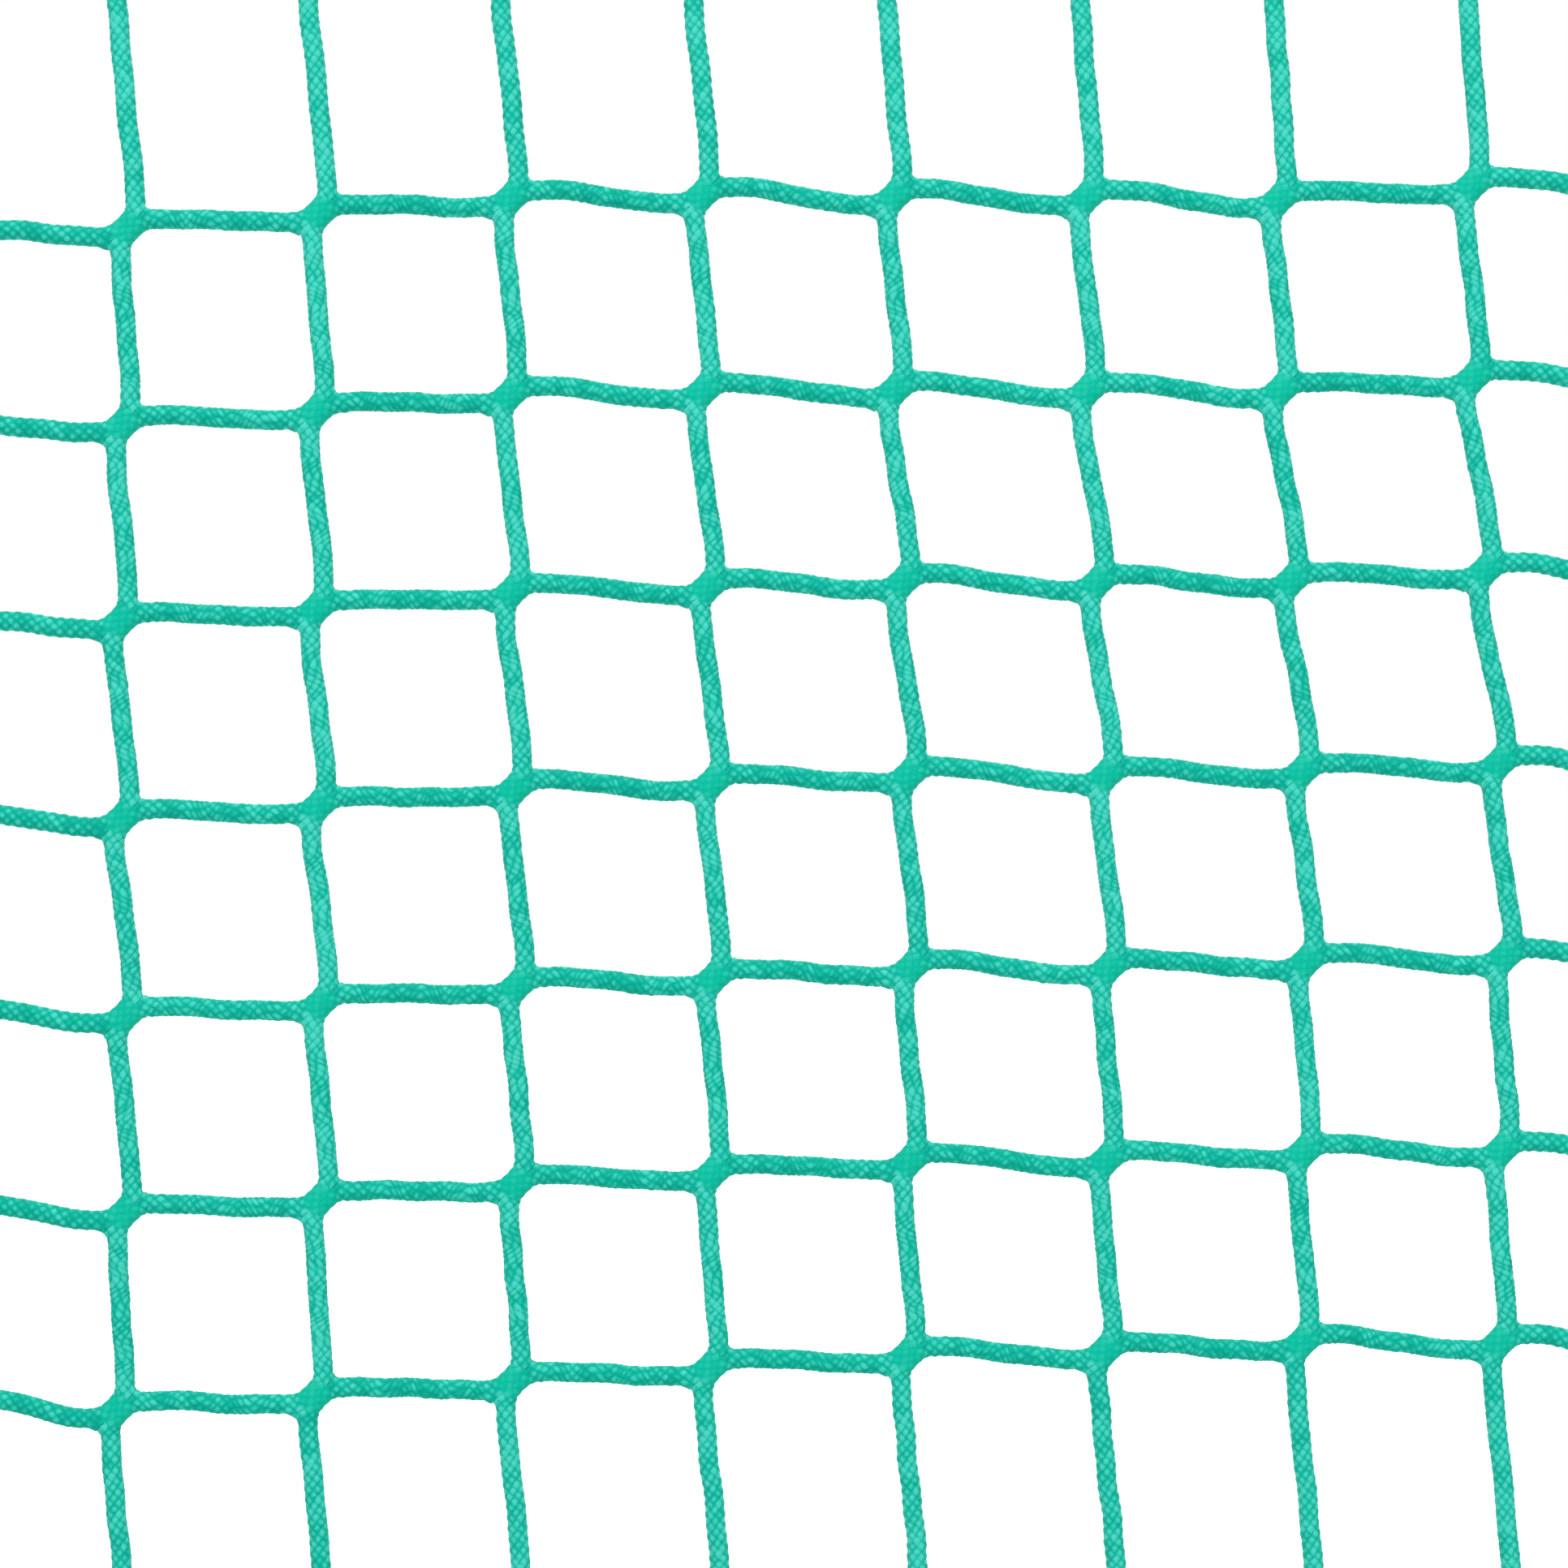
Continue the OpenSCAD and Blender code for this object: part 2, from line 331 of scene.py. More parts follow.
class Skin:
    """Collects closed swept tubes into one mesh with its maps and attributes."""

    def __init__(self):
        self.verts, self.quads, self.tris = [], [], []
        self.maps = {"quad_uv": [], "tri_uv": [], "quad_bake": [], "tri_bake": []}
        self.values = {}
        self.rims, self.creases = [], []
        self.count = 0

    def add(self, rings, uv, values, crease=None):
        """Adds a tube of m rings of n points each, closed by a fan at either end.

        uv is the count of pattern cells round the tube, and the map's place along it and its
        twist at each ring. values are attributes, and crease numbers the lines of sharp edges.
        """
        m, n, _ = rings.shape
        across, along, spin = uv
        base = self.count
        index = base + np.arange(m * n).reshape(m, n)
        right = np.roll(index, -1, 1)
        quads = np.stack([index[:-1], right[:-1], right[1:], index[1:]], -1).reshape(-1, 4)
        ends = base + m * n + np.arange(2)
        tris = np.concatenate(
            [
                np.stack([right[0], index[0], np.full(n, ends[0])], 1),
                np.stack([index[-1], right[-1], np.full(n, ends[1])], 1),
            ]
        )
        verts = np.concatenate([rings.reshape(-1, 3), rings[[0, -1]].mean(1)])
        j = np.arange(n)
        u0 = across * j / n + spin[:, None]
        u1 = u0 + across / n
        v = along[:, None]
        quad_uv = np.stack(
            [
                pair(u0[:-1], v[:-1]),
                pair(u1[:-1], v[:-1]),
                pair(u1[1:], v[1:]),
                pair(u0[1:], v[1:]),
            ],
            2,
        )
        s = np.arange(m) / (m - 1)
        b0, b1, s0, s1 = j / n, (j + 1) / n, s[:-1, None], s[1:, None]
        quad_bake = np.stack([pair(s0, b0), pair(s0, b1), pair(s1, b1), pair(s1, b0)], 2)
        tri_uv, tri_bake = [], []
        for ring, steps, cap in ((0, (j + 1, j), CAP_MARGIN), (m - 1, (j, j + 1), 1 - CAP_MARGIN)):
            turns = (*steps, j + 0.5)
            places = (s[ring], s[ring], cap)
            tri_uv += [np.stack([pair(across * t / n + spin[ring], along[ring]) for t in turns], 1)]
            tri_bake += [np.stack([pair(p, t / n) for p, t in zip(places, turns)], 1)]
        self.verts.append(verts)
        self.quads.append(quads)
        self.tris.append(tris)
        self.maps["quad_uv"].append(quad_uv.reshape(-1, 4, 2))
        self.maps["tri_uv"].append(np.concatenate(tri_uv))
        self.maps["quad_bake"].append(quad_bake.reshape(-1, 4, 2))
        self.maps["tri_bake"].append(np.concatenate(tri_bake))
        for name, value in values.items():
            spread = np.broadcast_to(value, (m, n)).reshape(-1)
            middles = value[[0, -1]].mean(1)
            self.values.setdefault(name, []).append(np.concatenate([spread, middles]))
        rim = np.zeros(m * n + 2, int)
        rim[:n] = 1
        rim[(m - 1) * n : m * n] = 2
        self.rims.append(rim)
        line = np.zeros((m, n), int) if crease is None else crease
        self.creases.append(np.concatenate([line.reshape(-1), [0, 0]]))
        self.count += m * n + 2

    def build(self, name, material):
        """The object made of every tube added, each in its own strip of the bake map."""
        strips = len(self.verts)
        for kind in ("quad_bake", "tri_bake"):
            for n, part in enumerate(self.maps[kind]):
                part[..., 0] = BAKE_SIDE + (1 - 2 * BAKE_SIDE) * part[..., 0]
                part[..., 1] = (n + BAKE_STRIP + (1 - 2 * BAKE_STRIP) * part[..., 1]) / strips
        verts = np.concatenate(self.verts) * MM
        quads, tris = np.concatenate(self.quads), np.concatenate(self.tris)
        corners = np.concatenate([quads.reshape(-1), tris.reshape(-1)])
        starts = np.concatenate([np.arange(len(quads)) * 4, quads.size + np.arange(len(tris)) * 3])
        mesh = bpy.data.meshes.new(name)
        mesh.vertices.add(len(verts))
        mesh.vertices.foreach_set("co", verts.astype(np.float32).ravel())
        mesh.loops.add(len(corners))
        mesh.loops.foreach_set("vertex_index", corners.astype(np.int32))
        mesh.polygons.add(len(starts))
        mesh.polygons.foreach_set("loop_start", starts.astype(np.int32))
        mesh.update(calc_edges=True)
        for layer, kind in (("braid", "uv"), ("OFBake", "bake")):
            uv = np.concatenate(
                [
                    np.concatenate(self.maps[f"quad_{kind}"]).reshape(-1, 2),
                    np.concatenate(self.maps[f"tri_{kind}"]).reshape(-1, 2),
                ]
            )
            mesh.uv_layers.new(name=layer, do_init=False).uv.foreach_set(
                "vector", uv.astype(np.float32).ravel()
            )
        for key, parts in self.values.items():
            mesh.attributes.new(key, "FLOAT", "POINT").data.foreach_set(
                "value", np.concatenate(parts).astype(np.float32)
            )
        edges = np.zeros(len(mesh.edges) * 2, np.int32)
        mesh.edges.foreach_get("vertices", edges)
        edges = edges.reshape(-1, 2)
        sharp = np.zeros(len(edges), bool)
        for group in (self.rims, self.creases):
            mark = np.concatenate(group)[edges]
            sharp |= (mark[:, 0] > 0) & (mark[:, 0] == mark[:, 1])
        mesh.attributes.new("sharp_edge", "BOOLEAN", "EDGE").data.foreach_set("value", sharp)
        mesh.materials.append(material)
        mesh.validate()
        obj = bpy.data.objects.new(name, mesh)
        bpy.context.scene.collection.objects.link(obj)
        return obj


def frames(path, planar_normal=None):
    """Tangent, side normal and front direction at each point. The side normal is to the left."""
    tangent = np.gradient(path, axis=0)
    tangent /= np.linalg.norm(tangent, axis=1)[:, None]
    if planar_normal is None:
        normal = np.stack([-tangent[:, 2], 0 * tangent[:, 1], tangent[:, 0]], 1)
    else:
        normal = planar_normal.copy()
    normal -= (normal * tangent).sum(1)[:, None] * tangent
    normal /= np.linalg.norm(normal, axis=1)[:, None]
    return tangent, normal, np.cross(tangent, normal)


def round_path(path, normal, front, distance, angle):
    """Points round a path, each at its own distance and angle from the side normal."""
    return (
        path[:, None, :]
        + (distance * np.cos(angle))[..., None] * normal[:, None, :]
        + (distance * np.sin(angle))[..., None] * front[:, None, :]
    )


# ---------------------------------------------------------------- Net cords

# The braid's mesh, its stitches, and how they drift and vary along a cord.
AROUND = 36
RING_STEP = 0.35
STRANDS = 6
PITCH = 2.8
STITCH = 0.40
SILHOUETTE = 0.62
PLUMP_LEAST = 0.78
PLUMP_SPREAD = 0.3
STITCH_TAPER = 0.75
MERGED_STITCH = 0.45
STITCH_WAVE = 0.16
TWIST_WAVE = 0.45
EVEN_REACH = 8.0
TWIST_REACH = 5.0
TONE_LEVEL = 0.35

# The seam between the two cords of a junction, and the webs in its crotches.
FILLET_ABOVE = 1.8
FILLET_BELOW = 3.2
OVERLAP = 0.2
WEB_SHARE = 1.2
WEB_SQUARENESS = 1.6
SEAM_SIDE = np.pi / 3
SEAM_FACING = 0.35
NEAR_JUNCTION = 13.0
FAR_AWAY = 99.0
MERGE_FADE = 1.15
SETTLE_FROM = 1.3 * JUNCTION_OFFSET
CREASE_TO = 0.97 * CORD_R

# One length of cord, and the splice at its eye.
CORD_EASE = 4.2
JUNCTION_HALF = 6.0
WOBBLE_POINTS = 60
SPLICE_TAPER = 0.12
SPLICE_LENGTH = 5.0


def stitches(across, along):
    """Height of the braid's surface, 0 in its crevices to 1 on a strand's crown."""
    a, b = across + along, across - along
    fa, fb = np.floor(a), np.floor(b)
    odd = np.mod(fa + fb, 2) > 0.5
    x, y = a - fa - 0.5, b - fb - 0.5
    x, y = np.where(odd, y, x), np.where(odd, x, y)
    crown = np.sqrt(np.maximum(0, 1 - 4 * x * x))
    # A hash gives each stitch its own share of plumpness.
    key = np.sin(np.mod(fa + fb, 2 * STRANDS) * 12.99 + (fa - fb) * 78.23) * 43758.5
    plump = PLUMP_LEAST + PLUMP_SPREAD * (key - np.floor(key))
    return plump * crown * np.maximum(0, np.cos(np.pi * y)) ** STITCH_TAPER


def seams(path, normal, passages):
    """For each point: the reach towards a junction's seam, its side (1 left of it, -1 right),
    and the radius of the web between the two cords."""
    reach = np.full(len(path), FAR_AWAY)
    side = np.ones(len(path))
    radius = np.full(len(path), FILLET_ABOVE)
    across = unit(np.array([-1.0, 0.0, 1.0]))
    onward = unit(np.array([1.0, 0.0, 1.0]))
    for i, k, on in passages:
        away = (path - junction(i, k)) @ across * on
        distance = away / np.maximum(normal @ across, SEAM_FACING)
        near = np.linalg.norm(path - junction(i, k), axis=1) < NEAR_JUNCTION
        reach = np.where(near, distance, reach)
        side = np.where(near, on, side)
        below = (path - junction(i, k)) @ onward < 0
        radius = np.where(near & below, FILLET_BELOW, radius)
    return reach, side, radius


def web_swell(over, radius):
    """How far a cord swells towards its neighbour, and that as a share of the most it swells."""
    most = WEB_SHARE * (1 - math.sqrt(0.5)) * radius
    swell = radius - np.sqrt(np.maximum(0, radius**2 - np.clip(radius - over, 0, radius) ** 2))
    swell = np.minimum(swell, most)
    return swell, swell / most


def cord_skin(skin, path, radius, normal, passages, along, spin, tone):
    """Adds one braided cord, each ring a circle, or half of a junction where it meets another.

    Towards the other cord a ring swells into the web, as an oval of power `full`, 2 for a circle,
    and the seam at distance e cuts it straight. Its points there are moved so that the pair at
    SEAM_SIDE always lies on the cut's two edges.
    """
    tangent, normal, front = frames(path, normal)
    m = len(path)
    r = radius[:, None]
    reach, side, web_radius = seams(path, normal, passages)
    over = reach - CORD_R
    swell, web = web_swell(over, web_radius)
    wide = r + swell[:, None]
    full = 2 + WEB_SQUARENESS * web[:, None]
    e = (reach + OVERLAP * smoothstep(over + 1))[:, None]
    merge = 1 - smoothstep((e - JUNCTION_OFFSET) / MERGE_FADE)
    theta = 2 * np.pi * np.arange(AROUND) / AROUND
    base = np.where(side > 0, np.pi, 0.0)[:, None]
    turn = np.mod(theta - base + np.pi + 1e-9, 2 * np.pi) - np.pi - 1e-9
    # alpha is the angle from the way to the other cord, and edge the cut's edge as one.
    alpha, way = np.abs(turn), np.where(turn < 0, -1.0, 1.0)
    high = r * (1 - np.clip(e / wide, 0, 1) ** full) ** (1 / full)
    edge = np.arctan2(high + merge * (r - high), np.minimum(e, wide))
    settle = smoothstep((e - SETTLE_FROM) / (CORD_R - SETTLE_FROM))
    edge = np.where(e < CORD_R, edge + (SEAM_SIDE - edge) * settle, SEAM_SIDE)
    quarter = np.pi / 2
    warped = np.where(
        alpha >= quarter,
        alpha,
        np.where(
            alpha >= SEAM_SIDE - 1e-6,
            edge + (alpha - SEAM_SIDE) / (quarter - SEAM_SIDE) * (quarter - edge),
            alpha / SEAM_SIDE * edge,
        ),
    )
    sin_w, cos_w = np.sin(warped), np.cos(warped)
    oval = (np.abs(cos_w / wide) ** full + np.abs(sin_w / r) ** full) ** (-1 / full)
    flat_top = (1 - merge) * oval + merge * r / np.maximum(sin_w, 0.3)
    seam = e / np.maximum(cos_w, 1e-3)
    rho = np.where(warped < quarter, np.minimum(flat_top, seam), r)
    crown = stitches(STRANDS * theta / (2 * np.pi) + spin[:, None], along[:, None])
    # Stitches are left out on the seam, which no one sees.
    shown = np.where((warped < quarter) & (seam <= flat_top), 0.0, 1.0)
    height = STITCH * (1 - (1 - MERGED_STITCH) * merge) * (crown - SILHOUETTE) * shown
    lean = np.where(warped < quarter, warped + merge * (quarter - warped), warped)
    direction = base + way * lean
    place = base + way * warped
    rings = round_path(path, normal, front, rho, place)
    rings += round_path(0 * path, normal, front, height, direction)
    line = (np.abs(alpha - SEAM_SIDE) < 1e-3) & (e < CREASE_TO)
    crease = np.where(line, np.arange(AROUND) + 1, 0)
    values = {
        # crown also sets the cord's colour: painted shade in the crevices and painted highlights on
        # the crowns.
        "crown": np.broadcast_to(crown, (m, AROUND)),
        "merge": np.broadcast_to(merge, (m, AROUND)),
        "tone": np.broadcast_to(tone[:, None], (m, AROUND)),
        # upright paints light by direction: upright legs lighter, level legs darker.
        "upright": np.broadcast_to(tangent[:, 2:] ** 2, (m, AROUND)),
    }
    skin.add(rings, (STRANDS, along, spin), values, crease)


def braid_along(at, marks, seed):
    """The braid's count along the cord and its twist, both whole and even near each mark."""
    rng = np.random.default_rng(seed)
    along, spin = np.zeros(len(at)), np.zeros(len(at))
    total = 0.0
    done = at < marks[0]
    along[done] = (at[done] - marks[0]) / PITCH
    for a, b in zip(marks[:-1], marks[1:]):
        length = b - a
        count = round(length / PITCH)
        here = (at >= a) & (at <= b)
        s = at[here] - a
        share = smoothstep((s - EVEN_REACH) / (length - 2 * EVEN_REACH))
        along[here] = total + s / PITCH + (count - length / PITCH) * share
        ease = smoothstep((s - TWIST_REACH) / EVEN_REACH)
        ease = ease * smoothstep((length - TWIST_REACH - s) / EVEN_REACH)
        for wave in (rng.uniform(9, 13), rng.uniform(17, 26)):
            along[here] += STITCH_WAVE * ease * np.sin(2 * np.pi * (s / wave + rng.uniform()))
            spin[here] += TWIST_WAVE * ease * np.sin(2 * np.pi * (s / wave + rng.uniform()))
        total += count
    after = at > marks[-1]
    along[after] = total + (at[after] - marks[-1]) / PITCH
    return along, spin


def tone_along(at, seed):
    """A cord's own lightness, and its slow changes along the cord."""
    rng = np.random.default_rng(seed)
    level = rng.uniform(-TONE_LEVEL, TONE_LEVEL)
    waves = sum(
        rng.uniform(0.15, 0.4) * np.sin(2 * np.pi * (at / length + rng.uniform()))
        for length in (rng.uniform(35, 60), rng.uniform(14, 24), rng.uniform(6, 9))
    )
    return level + waves


def cord_unit(skin, i, gap):
    """One length of cord: from the middle of a junction, level, up, to the middle of the next.

    It crosses the gap above its row. Its lower part is on row `gap`, its upper part on the row
    above. Column COLUMNS is the short length from the last junction to the right side rope.
    """
    k = gap
    diagonal = unit(np.array([1.0, 0.0, 1.0])) * JUNCTION_HALF
    points, passages, marks = [], [], []
    start_loop = end_loop = None
    low_row = k <= ROWS
    if low_row and i > 0:
        middle = (from_below(i - 1, k) + to_right(i - 1, k)) / 2
        points += [[middle - diagonal], [middle]]
        passages.append((i - 1, k, -1))
        marks.append(middle)
    if low_row:
        if i == 0:
            eye = eye_of_side(k, -1)
            start_loop = eye_loop(eye, -X)[::-1]
            points.append(level_leg(start_loop[-1], from_left(0, k)))
        else:
            end = from_left(i, k) if i < COLUMNS else eye_of_side(k, 1) - LEG_END * X
            points.append(level_leg(to_right(i - 1, k), end))
        if i < COLUMNS:
            passages.append((i, k, 1))
            marks.append((from_left(i, k) + to_up(i, k)) / 2)
            if k > 1:
                points.append(upright_leg(to_up(i, k), from_below(i, k - 1)))
            else:
                end_loop = eye_loop(eye_of_end(i, 1), Z)
                points.append(upright_leg(to_up(i, k), end_loop[0]))
        else:
            end_loop = eye_loop(eye_of_side(k, 1), X)
    else:
        start_loop = eye_loop(eye_of_end(i, -1), -Z)[::-1]
        points.append(upright_leg(start_loop[-1], from_below(i, ROWS)))
    if i < COLUMNS and k > 1:
        middle = (from_below(i, k - 1) + to_right(i, k - 1)) / 2
        points += [[middle], [middle + diagonal]]
        passages.append((i, k - 1, -1))
        marks.append(middle)
    seed = 100 * gap + i
    flat = smoothed(np.concatenate([np.array(p) for p in points]), CORD_EASE)
    near = [np.argmin(np.linalg.norm(flat - m, axis=1)) for m in marks]
    first = near[0] if low_row and i > 0 else 0
    last = near[-1] if i < COLUMNS and k > 1 else len(flat) - 1
    flat = flat[first : last + 1]
    path, at = resample(flat, RING_STEP)
    stops = [np.argmin(np.linalg.norm(path - m, axis=1)) for m in marks]
    moved = path.copy()
    cuts = sorted({0, *stops, len(path) - 1})
    for n, (a, b) in enumerate(zip(cuts[:-1], cuts[1:])):
        if b - a > WOBBLE_POINTS:
            piece = slice(a, b + 1)
            moved[piece] = wobble(path[piece], at[piece] - at[a], seed * 7 + n)
    path = moved
    _, normal, _ = frames(path)
    if start_loop is not None:
        lead, _ = resample(start_loop, RING_STEP)
        path = np.concatenate([lead[:-1], path])
        normal = np.concatenate([np.repeat(normal[:1], len(lead) - 1, 0), normal])
    if end_loop is not None:
        tail, _ = resample(end_loop, RING_STEP)
        path = np.concatenate([path, tail[1:]])
        normal = np.concatenate([normal, np.repeat(normal[-1:], len(tail) - 1, 0)])
    at = np.concatenate([[0], np.cumsum(np.linalg.norm(np.diff(path, axis=0), axis=1))])
    radius = np.full(len(path), CORD_R)
    for loop, far in ((start_loop, at), (end_loop, at[-1] - at)):
        if loop is not None:
            radius *= 1 - SPLICE_TAPER * (1 - smoothstep(far / SPLICE_LENGTH))
    stops = [at[np.argmin(np.linalg.norm(path - m, axis=1))] for m in marks]
    along, spin = braid_along(at, stops, seed)
    cord_skin(skin, path, radius, normal, passages, along, spin, tone_along(at, seed))


# ---------------------------------------------------------------- Ropes, twine and thimbles

# The three-strand rope, and its way round a corner eye.
ROPE_AROUND = 72
ROPE_STEP = 0.6
LAY = 27.0
STRAND_R = ROPE_R / (1 + 2 / math.sqrt(3))
VALLEY = 0.64
YARNS = 4.5
YARN_TURN = 24.0
YARN_HEIGHT = 0.10
YARN_LEVEL = 0.6
CORNER_EASE = 4.0
FLARE = math.radians(48)
FLARE_HANDLE = 3.4
FLARE_POINTS = 40
RING_POINTS = 160

# The two-ply twine, and how its ends tuck under.
TWINE_STEP = 0.22
TWINE_AROUND = 12
TWINE_LAY = 2.6
PLY_VALLEY = 0.80
PLY_HEIGHT = 0.24
WHIPPING_POINTS = 40
WHIPPING_TUCK = 0.28
WHIPPING_TUCK_TURN = 0.3
SEIZING_POINTS = 90
SEIZING_TUCK = 0.55
SEIZING_TUCK_TURN = 0.15

# The thimble's rounded edges.
RIM_ROUND = 0.7
LIP_ROUND = 0.48
THIMBLE_AROUND = 128


def rope_skin(skin, path, phase, seed):
    """Adds a three-strand rope along a path in the XZ plane, phase in turns at its start."""
    path, at = resample(path, ROPE_STEP)
    _, normal, front = frames(path)
    theta = 2 * np.pi * np.arange(ROPE_AROUND) / ROPE_AROUND
    turn = phase + at[:, None] / LAY
    third = np.mod(3 * (theta / (2 * np.pi) - turn), 1) - 0.5
    angle = third * 2 * np.pi / 3
    out = ROPE_R - STRAND_R
    arc = out * np.cos(angle) + np.sqrt(
        np.maximum(STRAND_R**2 - (out * np.sin(angle)) ** 2, 0.02)
    )
    rho = np.maximum(arc, VALLEY * ROPE_R)
    over = np.arctan2(rho * np.sin(angle), rho * np.cos(angle) - out)
    yarn = np.abs(np.sin(YARNS * over + 2 * np.pi * at[:, None] / YARN_TURN))
    crown = np.clip((rho / ROPE_R - VALLEY) / (1 - VALLEY), 0, 1)
    rho = rho + YARN_HEIGHT * (yarn - YARN_LEVEL) * crown
    rings = round_path(path, normal, front, rho, theta)
    m = len(path)
    values = {
        # crown and yarn also paint shade into the valleys between the strands and between the
        # yarns.
        "crown": crown,
        "yarn": yarn,
        "tone": np.broadcast_to(tone_along(at, seed)[:, None], (m, ROPE_AROUND)),
    }
    skin.add(rings, (3, at / LAY, 0 * at), values)


def twine_skin(skin, path, seed):
    """Adds a two-ply twine along any path."""
    path, at = resample(path, TWINE_STEP)
    tangent = np.gradient(path, axis=0)
    tangent /= np.linalg.norm(tangent, axis=1)[:, None]
    centre = path.mean(0)
    axis = unit(np.cross(path[len(path) // 9] - centre, path[len(path) // 9 + 8] - centre))
    normal = axis - (tangent @ axis)[:, None] * tangent
    normal /= np.linalg.norm(normal, axis=1)[:, None]
    front = np.cross(tangent, normal)
    theta = 2 * np.pi * np.arange(TWINE_AROUND) / TWINE_AROUND
    ply = theta - 2 * np.pi * at[:, None] / TWINE_LAY
    shape = np.abs(np.cos(ply))
    rho = TWINE_R * (PLY_VALLEY + PLY_HEIGHT * shape)
    rings = round_path(path, normal, front, rho, theta)
    m = len(path)
    values = {
        # crown also paints shade into the valleys between the plies.
        "crown": shape,
        "tone": np.broadcast_to(tone_along(at * 2, seed)[:, None], (m, TWINE_AROUND)),
    }
    skin.add(rings, (2, at / TWINE_LAY, 0 * at), values)


def tucked(t, turns, turn):
    """1 at a winding's two ends and 0 between, where its twine goes under itself."""
    return (1 - smoothstep(t / turn)) + (1 - smoothstep((turns - t) / turn))


def coil(turns, per_turn, place):
    """Points of a winding: place(turn count, share of a turn) gives each one."""
    count = int(turns * per_turn)
    return np.array([place(n / per_turn) for n in range(count + 1)])


def whipping(skin, start, direction, seed):
    """Twine wound round a cord from `start` along `direction`, its ends tucked under."""
    side = np.cross(direction, Y)
    turns = WHIPPING_L / (2 * TWINE_R) - 1

    def place(t):
        tuck = 1 - WHIPPING_TUCK * tucked(t, turns, WHIPPING_TUCK_TURN)
        radius = (CORD_R + TWINE_PLAY + TWINE_R) * tuck
        a = 2 * math.pi * t
        along = TWINE_R + 2 * TWINE_R * t
        return start + along * direction + radius * (math.cos(a) * Y + math.sin(a) * side)

    twine_skin(skin, coil(turns, WHIPPING_POINTS, place), seed)


def seizing(skin, side, end, seed):
    """Twine wound round the two parts of the border rope, just inside a corner eye."""
    radius = ROPE_R + TWINE_PLAY + TWINE_R
    straight = 2 * THROAT_R
    perimeter = 2 * math.pi * radius + 2 * straight
    turns = SEIZING_L / (2 * TWINE_R) - 1

    def place(t):
        p = (t % 1) * perimeter
        r = radius - SEIZING_TUCK * tucked(t, turns, SEIZING_TUCK_TURN)
        if p < straight:
            offset, y = p - THROAT_R, -r
        elif p < straight + math.pi * radius:
            a = (p - straight) / radius
            offset, y = THROAT_R + r * math.sin(a), -r * math.cos(a)
        elif p < 2 * straight + math.pi * radius:
            offset, y = THROAT_R - (p - straight - math.pi * radius), r
        else:
            a = (p - 2 * straight - math.pi * radius) / radius
            offset, y = -THROAT_R - r * math.sin(a), r * math.cos(a)
        along = SEIZING_START + TWINE_R + 2 * TWINE_R * t
        return corner(side, end, along, offset) + y * Y

    twine_skin(skin, coil(turns, SEIZING_POINTS, place), seed)


def border_path(end):
    """The border rope from the left side rope, round both corner eyes, to the right one."""
    start = SEIZING_START + SEIZING_L

    def round_eye(side, way):
        def local(along, offset):
            return corner(side, end, along, way * offset)

        def curve(way_out):
            """From the throat to where the rope meets the thimble, on the one side of it."""
            return bezier(
                local(start, way_out * THROAT_R),
                local(start + FLARE_HANDLE, way_out * THROAT_R),
                local(meets - FLARE_HANDLE * s, way_out * (THIMBLE_R * s - FLARE_HANDLE * c)),
                local(meets, way_out * THIMBLE_R * s),
                FLARE_POINTS,
            )

        c, s = math.cos(FLARE), math.sin(FLARE)
        meets = EYE_REACH - THIMBLE_R * c
        out, back = curve(-1), curve(1)[::-1]
        turn = np.linspace(FLARE, 2 * math.pi - FLARE, RING_POINTS)[1:-1]
        ring = [
            local(EYE_REACH - THIMBLE_R * math.cos(a), -THIMBLE_R * math.sin(a)) for a in turn
        ]
        first, last = local(0, -THROAT_R), local(0, THROAT_R)
        return np.concatenate([[first], out, np.array(ring), back, [last]])

    left = round_eye(-1, 1)
    right = round_eye(1, -1)
    low = np.array([-SIDE_X, 0.0, end * SIDE_SEAM])
    high = np.array([SIDE_X, 0.0, end * SIDE_SEAM])
    return smoothed(np.concatenate([[low], left, right, [high]]), CORNER_EASE)


def side_rope(skin, gap, side):
    """The side rope across one gap between rows, from the middle of one row to the next.

    The first and the last one end at a border rope's end instead.
    """
    low = -SIDE_SEAM if gap > ROWS else MESH * ((ROWS + 1) / 2 - gap)
    high = SIDE_SEAM if gap == 1 else MESH * ((ROWS + 1) / 2 - gap + 1)
    path = np.array([[side * SIDE_X, 0.0, low], [side * SIDE_X, 0.0, high]])
    rope_skin(skin, path, (low + SIDE_SEAM) / LAY, 900 + gap * 3 + side)


def thimble_profile():
    """Outline of the round thimble as (radius, y), with rounded edges."""
    half = GROOVE_R + THIMBLE_FLANGE
    lip = THIMBLE_R + THIMBLE_LIP
    rim, edge = RIM_ROUND, LIP_ROUND
    points = []

    def arc(cx, cy, r, a, b, count):
        for t in np.linspace(math.radians(a), math.radians(b), count):
            points.append((cx + r * math.cos(t), cy + r * math.sin(t)))

    arc(BORE_R + rim, -half + rim, rim, 180, 270, 8)
    arc(lip - edge, -half + edge, edge, 270, 360, 8)
    arc(lip - edge, -GROOVE_R - edge, edge, 0, 90, 6)
    arc(THIMBLE_R, 0, GROOVE_R, 270, 90, 34)
    arc(lip - edge, GROOVE_R + edge, edge, 270, 360, 6)
    arc(lip - edge, half - edge, edge, 0, 90, 8)
    arc(BORE_R + rim, half - rim, rim, 90, 180, 8)
    for y in np.linspace(half - rim, -half + rim, 9)[1:-1]:
        points.append((BORE_R, y))
    return np.array(points)


